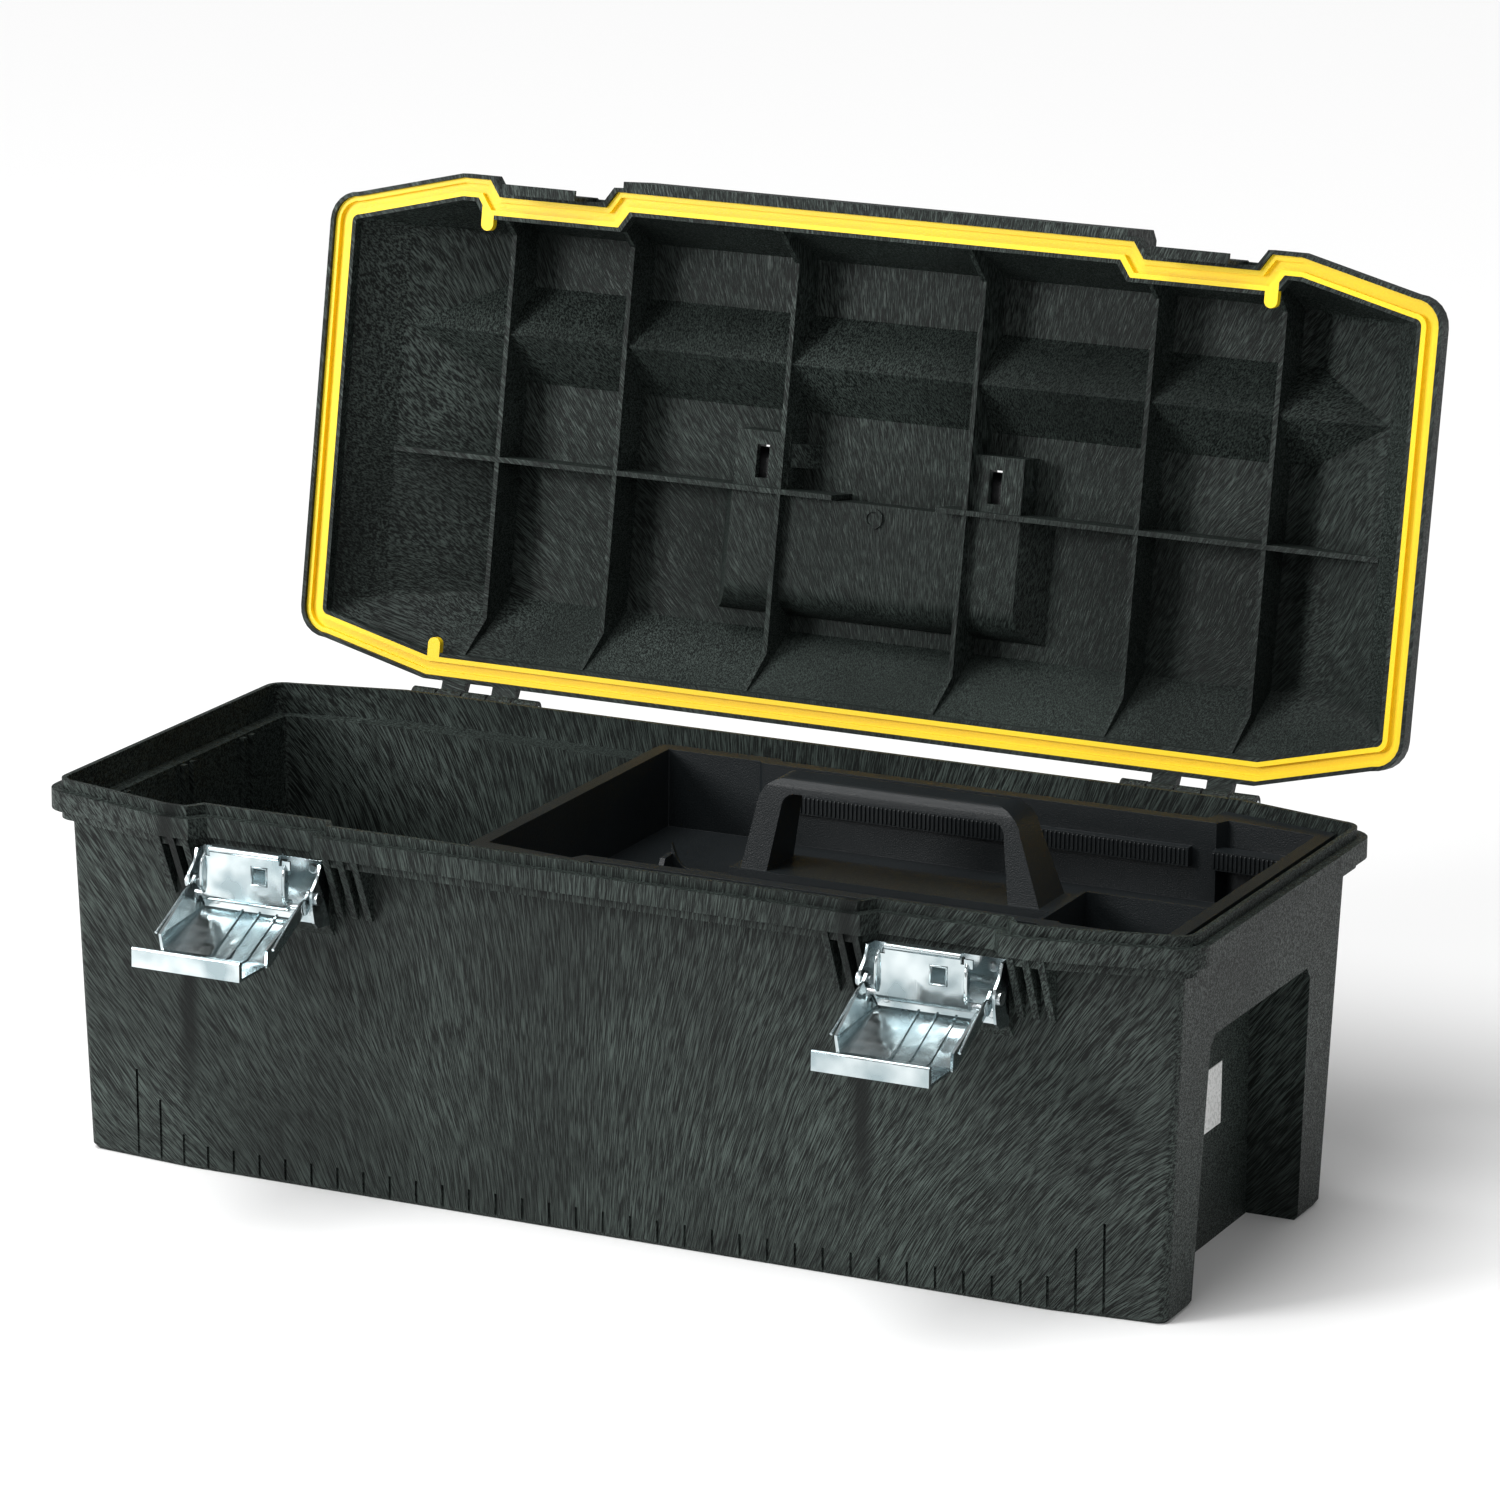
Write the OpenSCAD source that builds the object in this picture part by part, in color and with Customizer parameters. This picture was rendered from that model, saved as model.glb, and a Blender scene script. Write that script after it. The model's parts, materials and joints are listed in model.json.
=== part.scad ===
// Large moulded toolbox with a hinged lid, a lift-out tote tray and two steel draw latches.
// Millimetres. X is the length, -Y is the front, Z is up. The origin is under the middle of the box.
// The lid is drawn closed and then swung open about its hinge pins.

/* [Rim] */
// Length of the rim, measured over its raised lip
rim_len = 692; // [620:1:840]
// Depth of the rim at its corners, over the lip
rim_depth = 253.4; // [240:0.1:320]
// How far the middle of the front and rear bows out past the corners
rim_bow = 16.9; // [8:0.1:20]
// Length of the tapered stretch between a corner and the bowed middle
taper_len = 79; // [60:1:90]
// Height of the flange's top face above the ground
rim_z = 215.6; // [200:0.1:270]
// Width of the flange outside the lip
flange_w = 7.4; // [6:0.1:9]
// Height of the flange's outer band
flange_h = 11.6; // [8:0.1:14]
// Thickness of the raised lip
lip_t = 3; // [2:0.1:3.6]
// Height of the lip above the flange
lip_h = 5.6; // [4:0.1:5.8]

/* [Box] */
// Wall thickness of the box
wall = 5; // [4:0.1:6]
// How much each end wall leans in towards the floor
end_draft = 6.6; // [2:0.1:9]
// How much the front and rear walls lean in towards the floor
side_draft = 6; // [2:0.1:8]
// Depth of the ledge, inside the lip, that the tray hangs on
ledge_drop = 12.6; // [12.4:0.1:14]
// Half-width of an end recess at the ground
recess_half = 79.9; // [60:0.1:90]
// Height of an end recess
recess_h = 151.3; // [120:0.1:155]
// Depth of an end recess, from the rim's lip
recess_depth = 43; // [30:0.1:60]
// Spacing of the grip grooves along the foot of the front and rear walls
groove_pitch = 16.8; // [12:0.1:20]
// Width of the blank label on the right end
label_w = 25; // [15:1:40]

/* [Lid] */
// Angle that the lid is open
open_angle = 99.8; // [0:0.1:105]
// Height of the lid's top above the flange
lid_rise = 69.4; // [69.4:0.1:90]
// Wall thickness of the lid
lid_wall = 5; // [4:0.1:5.5]
// Gap between the closed lid's skirt and the flange
lid_gap = 0.6; // [0.4:0.1:0.8]
// Thickness of the stiffening ribs inside the lid
rib_t = 3; // [2:0.1:5]
// Distance of the saw groove's bottom in front of the middle
saw_groove_y = 57.1; // [50:0.1:62]
// Width of the seal
seal_w = 11; // [10:0.1:11]

/* [Hinges] */
// Distance of each hinge's middle from the middle of the box
hinge_x = 229.5; // [200:0.5:250]
// Distance of the hinge axis behind the lid's skirt
hinge_reach = 10.2; // [9:0.1:12]
// Radius of a hinge knuckle
knuckle_r = 5.5; // [5:0.1:6]
// Length of one hinge knuckle
knuckle_len = 15.4; // [12:0.1:18]
// Gap between neighbouring knuckles
knuckle_gap = 1.5; // [1:0.1:2.5]
// Radius of a hinge pin
hinge_pin_r = 2.5; // [2:0.1:3]

/* [Latches] */
// Distance of each latch's middle from the middle of the box
latch_x = 206.5; // [170:0.5:215]
// Half-width of the notch in the rim behind a latch
notch_half = 39.2; // [38:0.1:44]
// How far the notch is set back
notch_depth = 9.7; // [8:0.1:11]
// Thickness of the latch steel
steel = 1.6; // [1.2:0.1:1.8]
// Half-width over a latch's ears
ear_half = 40; // [40:0.1:42]
// Half-width of the finger bar
bar_half = 34; // [30:0.1:36]
// Length of the lever from its pivot to the finger bar
lever_len = 75.1; // [66:0.1:90]
// Radius of the lever's pivot pin
latch_pin_r = 2; // [1.6:0.1:2.4]
// Radius of the pin that carries the link
link_pin_r = 1.8; // [1.4:0.1:2]

/* [Tray] */
// Length of the tray over its rim
tray_len = 420; // [360:1:440]
// Depth of the tray at the middle of its long sides
tray_depth = 239; // [230:1:240]
// Height of the tray
tray_h = 49; // [40:1:52]
// Wall thickness of the tray
tray_wall = 2.6; // [2:0.1:3.5]
// Height of the tray's rim band
tray_rim_h = 12; // [8:0.5:12]
// How far the tray's rim stands out past its walls
tray_rim_out = 6; // [4:0.5:8]
// Height of the tray's handle above its rim
tray_grip_h = 29; // [20:1:30]
// Gap between the tray's end and the box's lip
tray_end_gap = 12; // [12:1:40]

/* [Carry handle] */
// Distance between the middles of the carry handle's arms
arm_span = 150; // [140:1:156]
// Reach of the carry handle from its pivots to its grip
arm_reach = 55; // [50:1:58]
// Radius of the carry handle's pivot pins
arm_pin_r = 3; // [2.5:0.1:3.5]
// Outer radius of the soft grip
grip_r = 9; // [8:0.1:9.5]

/* [Clearances] */
// Radial clearance of a pin in its hole
pin_fit = 0.05; // [0.02:0.01:0.09]
// Clearance between a moving piece and its neighbour
play = 0.5; // [0.4:0.1:0.7]

/* [Hidden] */
$fn = 48;
eps = 0.1;
black = "#2b2f2e";

// The rim's lip line: half-length, half-depth at the corners and at the bowed middle
lip_x = rim_len / 2;
lip_y = rim_depth / 2;
mid_y = lip_y + rim_bow;
flat_x = lip_x - taper_len;
notch_y = mid_y - notch_depth;
notch_jog = 6.8;
corner_r = 10;
lip_top = rim_z + lip_h;

// The box's walls, at their top and at the floor
ledge_z = rim_z - ledge_drop;
top_x = lip_x - 5.4;
top_y = lip_y - 3.2;
top_mid = mid_y - 14.3;
foot_x = top_x - end_draft;
foot_y = top_y - side_draft;
foot_mid = top_mid - side_draft;
recess_x = lip_x - recess_depth;
recess_top_half = recess_half - 5.3;

// The lid, drawn closed
skirt_z = rim_z + lid_gap;
skirt_w = flange_w + lid_gap;
lid_rim_z = lip_top + 2.2;
dome_z = lid_rim_z + 1.6;
lid_top = rim_z + lid_rise;
eave_z = lid_top - 32;
eave_x = lip_x - 24;
crown_x = lip_x - 78;
crown_front = mid_y - 20;
crown_rear = mid_y - 36.2;
rib_z = lid_top - 34;
ridge_z = lid_top - 32.5;
rib_x = [60, 168, 247];
long_rib_y = 18.4;
seal_z = skirt_z + 2.5;
groove_half = lip_t / 2 + 1.1;
groove_roof = lip_top + 0.5;
brow_y = mid_y + 12;
brow_x = latch_x - notch_half - notch_jog;
brow_z = lid_top - 23;

// The hinges
hinge_y = mid_y + skirt_w + hinge_reach;
hinge_z = rim_z - 1.6;
knuckles = 5;
hinge_half = (knuckles * knuckle_len + (knuckles - 1) * knuckle_gap) / 2;

// The carry handle and its pocket in the lid's top
pocket_z = lid_top - 22;
pocket_face = pocket_z - lid_wall;
arm_half = 10;
arm_y = 2;
arm_z = lid_top - 12;
arm_x = arm_span / 2;
tower_half = arm_half + 7.5;
grip_y = arm_y + arm_reach;
bulge_x = arm_x + tower_half - 0.5;
bulge_y = long_rib_y + 2;

// The latches
base_y = -notch_y - 0.1;
pivot_y = base_y - 14.5;
pivot_z = rim_z - 35.6;
crank = 8;
rest_turn = 210;
crank_y = pivot_y + crank * cos(rest_turn);
crank_z = pivot_z + crank * sin(rest_turn);
arm_out = ear_half - steel - play - 0.9;
link_face = crank_y - 3.5;
hook_z = rim_z - 12.5;
hook_reach = 5.6;
catch_back = notch_y + skirt_w;
catch_t = 2.4;
catch_z = rim_z - 16.6;
catch_out = -crank_y - 7.4;

// The tray, drawn about the middle of its rim's top face
tray_x = lip_x - tray_end_gap - tray_len / 2;
tray_z = ledge_z + 0.2 + tray_rim_h;
tray_half = tray_len / 2;
tray_mid = tray_depth / 2;
tray_flare = tray_mid + 17.5;
tray_end = tray_mid + 4;
deck_w = 24;

function arc(cx, cy, r, a0, a1, n = 6) =
    [for (i = [0:n]) [cx + r * cos(a0 + (a1 - a0) * i / n), cy + r * sin(a0 + (a1 - a0) * i / n)]];

// Outline of the box's walls: tapered ends, a bowed middle and rounded corners
function wall_plan(x, y, mid, r) = concat(
    arc(x - r, y - r, r, 0, 90), [[flat_x, mid], [-flat_x, mid]],
    arc(r - x, y - r, r, 90, 180), arc(r - x, r - y, r, 180, 270),
    [[-flat_x, -mid], [flat_x, -mid]], arc(x - r, r - y, r, 270, 360));

// Outline of one notch in the front of the rim, grown by o
function notch(cx, o) = [
    [cx - notch_half - notch_jog + o * 0.75, -mid_y - o], [cx - notch_half + o * 0.75, -notch_y - o],
    [cx + notch_half - o * 0.75, -notch_y - o], [cx + notch_half + notch_jog - o * 0.75, -mid_y - o]];

// Outline of the rim's lip line, grown by o
function rim_plan(o) = let (x = lip_x - corner_r, y = lip_y - corner_r, r = corner_r + o) concat(
    arc(x, y, r, 0, 90), [[flat_x, mid_y + o], [-flat_x, mid_y + o]],
    arc(-x, y, r, 90, 180), arc(-x, -y, r, 180, 270), [[-flat_x, -mid_y - o]],
    notch(-latch_x, o), notch(latch_x, o), [[flat_x, -mid_y - o]], arc(x, -y, r, 270, 360));

// A level slice of the lid at height z, t inside its outer face
function lid_plan(x, z, t) =
    let (k = (z - dome_z) / (lid_top - dome_z), taper = rim_bow / taper_len * max(0, x - flat_x),
         front = mid_y + (crown_front - mid_y) * k - t, rear = mid_y + (crown_rear - mid_y) * k - t)
    concat(arc(x - t - 6, rear - taper - 6, 6, 0, 90, 4), [[min(flat_x, x - 10), rear],
        [-min(flat_x, x - 10), rear]],
           arc(6 + t - x, rear - taper - 6, 6, 90, 180, 4), arc(6 + t - x, taper + 6 - front, 6, 180, 270, 4),
           [[-min(flat_x, x - 10), -front], [min(flat_x, x - 10), -front]],
           arc(x - t - 6, taper + 6 - front, 6, 270, 360, 4));

// Half of the tray's outline, along its front, flared at one end; the rear is the same, turned half round
function tray_half_plan(o, flare, end) = let (r = max(4 + o, 1), x = tray_half + o - r) concat(
    arc(-x, 1 - end - o + r, r, 180, 262, 3),
    [[-tray_half + 72 + o, -flare - o], [-tray_half + 76 + o, -tray_mid - o],
     [tray_half - 79 - o, -tray_mid - o], [tray_half - 76 - o, -end - o]],
    arc(x, r - end - o, r, 270, 360, 3));
function tray_plan(o, flare = tray_flare, end = tray_end) =
    let (half = tray_half_plan(o, flare, end)) concat(half, [for (p = half) -p]);
// Outline of the tray's walls, t inside their outer face, which drop past the box's walls
function tray_walls(t) = tray_plan(-tray_rim_out - t, top_mid - wall - 2.5 + tray_rim_out,
    min(tray_end, top_y - wall - 2.2 + tray_rim_out));

// A flat slice of an outline
module slab(z, pts, t = eps) translate([0, 0, z]) linear_extrude(t) polygon(pts);
// A ring between two outlines, from z0 to z1
module ring(z0, z1, outer, inner) translate([0, 0, z0]) linear_extrude(z1 - z0)
    difference() { polygon(outer); polygon(inner); }
// A y-z outline drawn out along X
module along_x(x0, x1, pts) translate([x0, 0, 0]) rotate([90, 0, 90]) linear_extrude(x1 - x0) polygon(pts);
// An x-z outline drawn out along Y
module along_y(y0, y1, pts) translate([0, y1, 0]) rotate([90, 0, 0]) linear_extrude(y1 - y0) polygon(pts);
// A round bar along X
module bar(x0, x1, y, z, r) translate([x0, y, z]) rotate([0, 90, 0]) cylinder(r = r, h = x1 - x0);
module block(x0, x1, y0, y1, z0, z1) translate([x0, y0, z0]) cube([x1 - x0, y1 - y0, z1 - z0]);
module both_sides() for (s = [0, 1]) mirror([s, 0, 0]) children();
module each_latch() for (s = [-1, 1]) translate([s * latch_x, 0, 0]) children();
// Swings what is drawn on the closed lid open about the hinge axis
module on_lid() translate([0, hinge_y, hinge_z]) rotate([-open_angle, 0, 0])
    translate([0, -hinge_y, -hinge_z]) children();

// ---- Box ----

module recess_shape(grow, x0) along_x(x0, lip_x + 20, [
    [-recess_half - grow, -1], [recess_half + grow, -1],
    [recess_top_half + grow, recess_h + grow - 6], [recess_top_half + grow - 6, recess_h + grow],
    [6 - recess_top_half - grow, recess_h + grow], [-recess_top_half - grow, recess_h + grow - 6]]);

module box_walls() difference() {
    hull() {
        slab(0, wall_plan(foot_x - 2, foot_y - 2, foot_mid - 2, 6));
        slab(3, wall_plan(foot_x, foot_y, foot_mid, 6));
        slab(ledge_z - eps, wall_plan(top_x, top_y, top_mid, 6));
    }
    difference() {
        hull() {
            slab(wall, wall_plan(foot_x - wall, foot_y - wall, foot_mid - wall, 3));
            slab(ledge_z, wall_plan(top_x - wall, top_y - wall, top_mid - wall, 3));
        }
        both_sides() recess_shape(wall, recess_x - wall);
    }
    both_sides() recess_shape(0, recess_x);
}

module box_rim() {
    ring(ledge_z - wall, ledge_z, rim_plan(lip_t / 2),
        wall_plan(top_x - wall, top_y - wall, top_mid - wall, 3));
    ring(ledge_z - wall, lip_top, rim_plan(lip_t / 2), rim_plan(-lip_t / 2));
    ring(rim_z - 3.6, rim_z, rim_plan(flange_w), rim_plan(0));
    ring(rim_z - flange_h, rim_z, rim_plan(flange_w), rim_plan(flange_w - 3.4));
}

// A pad for the latch, and three gussets each side of it up to the flange
module latch_seat() {
    along_x(-ear_half, ear_half, [[-top_mid + 4, pivot_z - 30], [base_y, pivot_z - 20],
        [base_y, ledge_z], [-top_mid + 4, ledge_z]]);
    both_sides() for (x = [45, 54, 63]) along_x(x - 2, x + 2, [[-top_mid + 4, pivot_z - 15],
        [-top_mid - 0.5, pivot_z - 15], [-mid_y - flange_w + 2, rim_z - flange_h + 1],
        [-mid_y, rim_z - 3], [-top_mid + 4, ledge_z]]);
}

// Upright grooves along the foot of a long wall, growing taller towards its ends
module grip_grooves() {
    count = floor((flat_x - 3) / groove_pitch);
    for (i = [-count:count]) block(i * groove_pitch - 0.8, i * groove_pitch + 0.8,
        -foot_mid - 3, 1.2 - foot_mid, -1, 15);
    both_sides() for (i = [1:3])
        let (x = count * groove_pitch + i * (groove_pitch - 1), k = (x - flat_x) / (foot_x - flat_x))
        block(x - 0.8, x + 0.8, -foot_mid - 6, 1.2 - foot_mid + k * (foot_mid - foot_y),
            -1, [20, 38, 54][i - 1]);
}

// Pairs of upright stiffeners inside an end wall, above the recess
module end_stiffeners() for (y = [-75, 0, 70], d = [-5, 5])
    along_x(top_x - wall - 3, top_x - 2, [[y + d - 2, recess_h], [y + d + 2, recess_h],
        [y + d + 2, ledge_z - 1], [y + d - 2, ledge_z - 1]]);

// The knuckles from first, every second one, each on an arm whose outline is given
module knuckle_row(first, arm) for (i = [first:2:knuckles - 1])
    let (x = hinge_x - hinge_half + i * (knuckle_len + knuckle_gap)) {
        bar(x, x + knuckle_len, hinge_y, hinge_z, knuckle_r);
        along_x(x, x + knuckle_len, arm);
    }

module box_body() color(black) difference() {
    union() {
        box_walls();
        box_rim();
        each_latch() latch_seat();
        both_sides() end_stiffeners();
        both_sides() knuckle_row(0, [[mid_y + flange_w - 2, hinge_z - knuckle_r],
            [hinge_y, hinge_z - knuckle_r],
            [hinge_y, rim_z - 0.4], [mid_y + flange_w - 2, rim_z - 0.4]]);
    }
    both_sides() bar(hinge_x - hinge_half - 1, hinge_x + hinge_half + 1,
        hinge_y, hinge_z, hinge_pin_r + pin_fit);
    for (turn = [0, 180]) rotate(turn) grip_grooves();
    each_latch() rivet_holes();
}

module end_label() color("white")
    block(recess_x, recess_x + 0.4, 10, 10 + label_w, recess_h - 85, recess_h - 49);

module hinge_pin() color("silver") bar(hinge_x - hinge_half - 0.4, hinge_x + hinge_half + 0.4,
    hinge_y, hinge_z, hinge_pin_r);

// ---- Lid ----

module saw_groove(z, half) along_x(-lip_x - 10, lip_x + 10,
    [[-saw_groove_y - half, lid_top + 1], [-saw_groove_y, z], [half - saw_groove_y, lid_top + 1]]);

module lid_dome() difference() {
    hull() {
        slab(dome_z, lid_plan(lip_x, dome_z, 0));
        slab(eave_z, lid_plan(eave_x, eave_z, 0));
        slab(lid_top - eps, lid_plan(crown_x, lid_top, 0));
    }
    difference() {
        hull() {
            slab(dome_z - 2, lid_plan(lip_x, dome_z, lid_wall));
            slab(eave_z - 1, lid_plan(eave_x - 1, eave_z, lid_wall));
            slab(lid_top - lid_wall, lid_plan(crown_x - 1, lid_top, lid_wall));
        }
        along_x(-lip_x, lip_x, [[-saw_groove_y - 34, lid_top], [-saw_groove_y, ridge_z],
            [34 - saw_groove_y, lid_top]]);
    }
}

module lid_rim() {
    ring(lid_rim_z, dome_z + 2, rim_plan(skirt_w), rim_plan(-8));
    ring(skirt_z, lid_rim_z, rim_plan(skirt_w), rim_plan(seal_w / 2 + 0.1));
    ring(seal_z, lid_rim_z, rim_plan(-seal_w / 2 - 0.1), rim_plan(-8));
}

// The upright front face between the latch notches, and the tongue that each latch hooks under
module lid_brow() {
    along_x(-brow_x, brow_x, [[-brow_y, skirt_z], [-mid_y - skirt_w + 2, skirt_z],
        [-mid_y - skirt_w + 2, lid_rim_z], [4.5 - mid_y, dome_z + 1],
        [-crown_front - 5.5, brow_z], [-brow_y + 6, brow_z], [-brow_y, brow_z - 6]]);
    each_latch() along_x(-24, 24, [[-catch_back, skirt_z], [-catch_back, catch_z - 2],
        [-catch_out, catch_z - 2],
        [-catch_out, catch_z], [-catch_back - catch_t, catch_z], [-catch_back - catch_t, dome_z + 3],
        [-crown_front - 12, dome_z + 22], [4 - mid_y, dome_z], [2 - catch_back, lid_rim_z],
        [2 - catch_back, skirt_z]]);
}

// Ribs that follow the front and rear slopes, and one along the length, broken by the handle's bulge
module lid_ribs() {
    both_sides() for (x = rib_x) along_x(x - rib_t / 2, x + rib_t / 2, [
        [2 - mid_y, dome_z], [-crown_front + 1, lid_top - 2], [crown_rear - 1, lid_top - 2],
        [mid_y - 2, dome_z], [mid_y - 7, dome_z], [mid_y - 23 - 6, rib_z], [19 + 8 - mid_y, rib_z],
        [8.5 - mid_y, dome_z]]);
    along_y(long_rib_y - rib_t / 2, long_rib_y + rib_t / 2, [[-eave_x + 5, eave_z - 3], [-25, eave_z - 3],
        [-25, lid_top - 2], [-crown_x, lid_top - 2], [-eave_x + 3, eave_z + 1]]);
    along_y(long_rib_y - rib_t / 2, long_rib_y + rib_t / 2, [[eave_x - 5, eave_z - 3], [42, eave_z - 3],
        [42, lid_top - 2], [crown_x, lid_top - 2], [eave_x - 3, eave_z + 1]]);
}

// The handle's pocket: its inside, or the bulge round it, grown by t
module pocket_shape(t) intersection() {
    along_y(bulge_y - 40, grip_y + 60, [[-bulge_x - 14 - t, lid_top + 3], [-bulge_x + 4 - t, pocket_z - t],
        [bulge_x - 4 + t, pocket_z - t], [bulge_x + 14 + t, lid_top + 3]]);
    along_x(-bulge_x - 40, bulge_x + 40, concat([[bulge_y + 5 - t, lid_top + 3],
        [bulge_y + 5 - t, pocket_z - t]],
        [for (i = [0:5]) [grip_y + grip_r + 2 + t + 20 * sin(i * 15), pocket_z - t + 25 * (1 - cos(i * 15))]],
        [[grip_y + grip_r + 23 + t, lid_top + 3]]));
}

module towers() both_sides() {
    block(arm_x - tower_half, arm_x + tower_half, arm_y - 18, bulge_y + 8, pocket_face, lid_top - 2);
    along_y(arm_y - 12, arm_y + 2, [[arm_x - tower_half - 12, lid_top - 2],
        [arm_x - tower_half - 7, pocket_face + 10],
        [arm_x - tower_half, pocket_face + 3], [arm_x - tower_half + 1, lid_top - 2]]);
}

module arm_pockets() both_sides() {
    block(arm_x - arm_half - play, arm_x + arm_half + play, arm_y - 13, bulge_y + 12, pocket_z, lid_top + 3);
    block(arm_x - 4, arm_x + 4, arm_y - 10, arm_y + 10, pocket_face - 1, pocket_z + 1);
}

// Round injection point on the bulge's face
module gate_ring() translate([0, bulge_y + 8, pocket_face - 1.5]) difference() {
    cylinder(r = 6, h = 3);
    translate([0, 0, -1]) cylinder(r = 4.2, h = 2);
}

module lid_shell() color(black) on_lid() difference() {
    union() {
        lid_dome();
        lid_rim();
        lid_brow();
        lid_ribs();
        intersection() {
            union() { pocket_shape(lid_wall); gate_ring(); }
            block(-lip_x, lip_x, -lip_y, lip_y, pocket_face - 2, lid_top - 2);
        }
        towers();
        both_sides() knuckle_row(1, [[mid_y + skirt_w - 2.2, skirt_z], [mid_y + skirt_w + 0.6, skirt_z],
            [hinge_y, hinge_z], [hinge_y, hinge_z + knuckle_r], [mid_y + skirt_w - 2.2, dome_z - 0.5]]);
    }
    saw_groove(lid_top - 25.5, 27.5);
    pocket_shape(0);
    arm_pockets();
    both_sides() bar(hinge_x - hinge_half - 1, hinge_x + hinge_half + 1,
        hinge_y, hinge_z, hinge_pin_r + pin_fit);
    both_sides() bar(arm_x - tower_half - 1, arm_x + tower_half + 1, arm_y, arm_z, arm_pin_r + pin_fit);
    seal_tabs(seal_z - 1, lid_rim_z + 0.01, 0.1);
}

// A rounded tab at an inner corner of the seal
module seal_tab(x, y, turn, grow) translate([x, y, 0]) rotate(turn) {
    block(-4 - grow, 4 + grow, -3, 8, 0, 1);
    translate([0, 8, 0]) cylinder(r = 4 + grow, h = 1);
}
module seal_tabs(z0, z1, grow) translate([0, 0, z0]) scale([1, 1, z1 - z0]) {
    both_sides() seal_tab(latch_x + notch_half + 4, -notch_y + 3, 0, grow);
    seal_tab(-flat_x + 4, mid_y - 5, 180, grow);
}

module lid_seal() color("gold") on_lid() difference() {
    union() {
        ring(seal_z, lid_rim_z, rim_plan(seal_w / 2), rim_plan(-seal_w / 2));
        seal_tabs(seal_z, lid_rim_z, 0);
    }
    ring(seal_z - 1, groove_roof, rim_plan(groove_half), rim_plan(-groove_half));
}

// ---- Carry handle ----

module carry_handle() color(black) on_lid() difference() {
    union() {
        both_sides() {
            bar(arm_x - arm_half, arm_x + arm_half, arm_y, arm_z, 8);
            along_x(arm_x - arm_half, arm_x + arm_half, [[arm_y, arm_z - 8], [grip_y, arm_z - 7],
                [grip_y, arm_z + 8], [arm_y, arm_z + 8]]);
            bar(arm_x - arm_half, arm_x + arm_half, grip_y, arm_z + 0.5, 7.5);
        }
        bar(arm_half - arm_x, arm_x - arm_half, grip_y, arm_z + 0.5, grip_r - 2.5);
    }
    both_sides() bar(arm_x - arm_half - 1, arm_x + arm_half + 1, arm_y, arm_z, arm_pin_r + pin_fit);
}

module handle_grip() color("#202020") on_lid() difference() {
    bar(arm_half - arm_x + 1, arm_x - arm_half - 1, grip_y, arm_z + 0.5, grip_r);
    bar(-arm_x, arm_x, grip_y, arm_z + 0.5, grip_r - 2.5 + pin_fit);
}

module handle_pin() color("silver") on_lid()
    bar(arm_x - tower_half + 0.5, arm_x + tower_half - 0.5, arm_y, arm_z, arm_pin_r);

// ---- Tote tray ----

// Arch of the tray's handle: legs spread at the deck, with rounded shoulders
module tray_handle() intersection() {
    along_y(-20, 20, concat([[-92, -deck_w - 1]], arc(-67, tray_grip_h - 17, 17, 172, 90),
        arc(59, tray_grip_h - 17, 17, 90, 8), [[90, -deck_w - 1], [71, -deck_w - 1]],
        arc(58, tray_grip_h - 16, 8, 3, 90), arc(-61, tray_grip_h - 16, 8, 90, 177), [[-76, -deck_w - 1]]));
    along_x(-100, 100, concat([[-18, -deck_w - 1], [18, -deck_w - 1]], arc(7, tray_grip_h - 6, 6, 10, 90),
        arc(-7, tray_grip_h - 6, 6, 90, 170)));
}

// Raised deck under the handle, hollow below, and the low walls of the small bins
module tray_bins() {
    block(-98, 101, -20, 20, 1 - tray_h, -deck_w);
    block(99.4, 102, 1 - tray_mid + tray_rim_out, 22, 1 - tray_h, -deck_w + 2);
    block(100, tray_half - tray_rim_out - 1, 19.4, 21.8, 1 - tray_h, -deck_w + 2);
    for (p = [[-62, -160], [-16, -136]]) translate([0, p[0], 0])
        along_y(0, tray_wall, concat([[-97, 1 - tray_h], [-97, -30]], arc(p[1] + 12, -20, 10, 270, 190),
            [[p[1], -16], [p[1], 1 - tray_h]]));
    along_x(-138.6, -135.4, concat([[-60.5, 1 - tray_h], [-60.5, -22]], arc(-38, -18, 14, 200, 340),
        [[-14.5, -22], [-14.5, 1 - tray_h]]));
    block(80 - tray_half, tray_half - 82, tray_mid - tray_rim_out - 8, tray_mid - tray_rim_out - 1, -26, -15);
    block(tray_half - 68, tray_half - 8, tray_mid - tray_rim_out - 8, tray_mid - tray_rim_out + 3, -26, -15);
}

module tote_tray() color("#26292b") translate([tray_x, 0, tray_z]) difference() {
    union() {
        ring(-tray_wall, 0, tray_plan(0), tray_walls(tray_wall));
        ring(-tray_rim_h, 0, tray_plan(0), tray_plan(-tray_wall));
        ring(-tray_h, 0, tray_walls(0), tray_walls(tray_wall));
        slab(-tray_h, tray_walls(0), tray_wall);
        tray_bins();
        tray_handle();
    }
    block(-95.4, 99.4 - tray_wall, -17.4, 17.4, -tray_h - 1, -deck_w - tray_wall);
}

// ---- Latches ----

// Four holes through the latch's base into its seat
module rivet_holes() for (x = [-31, 31], z = [pivot_z - 13, pivot_z + 13])
    translate([x, base_y + 5, z]) rotate([90, 0, 0]) cylinder(r = 1.6 + pin_fit, h = 9);

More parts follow.
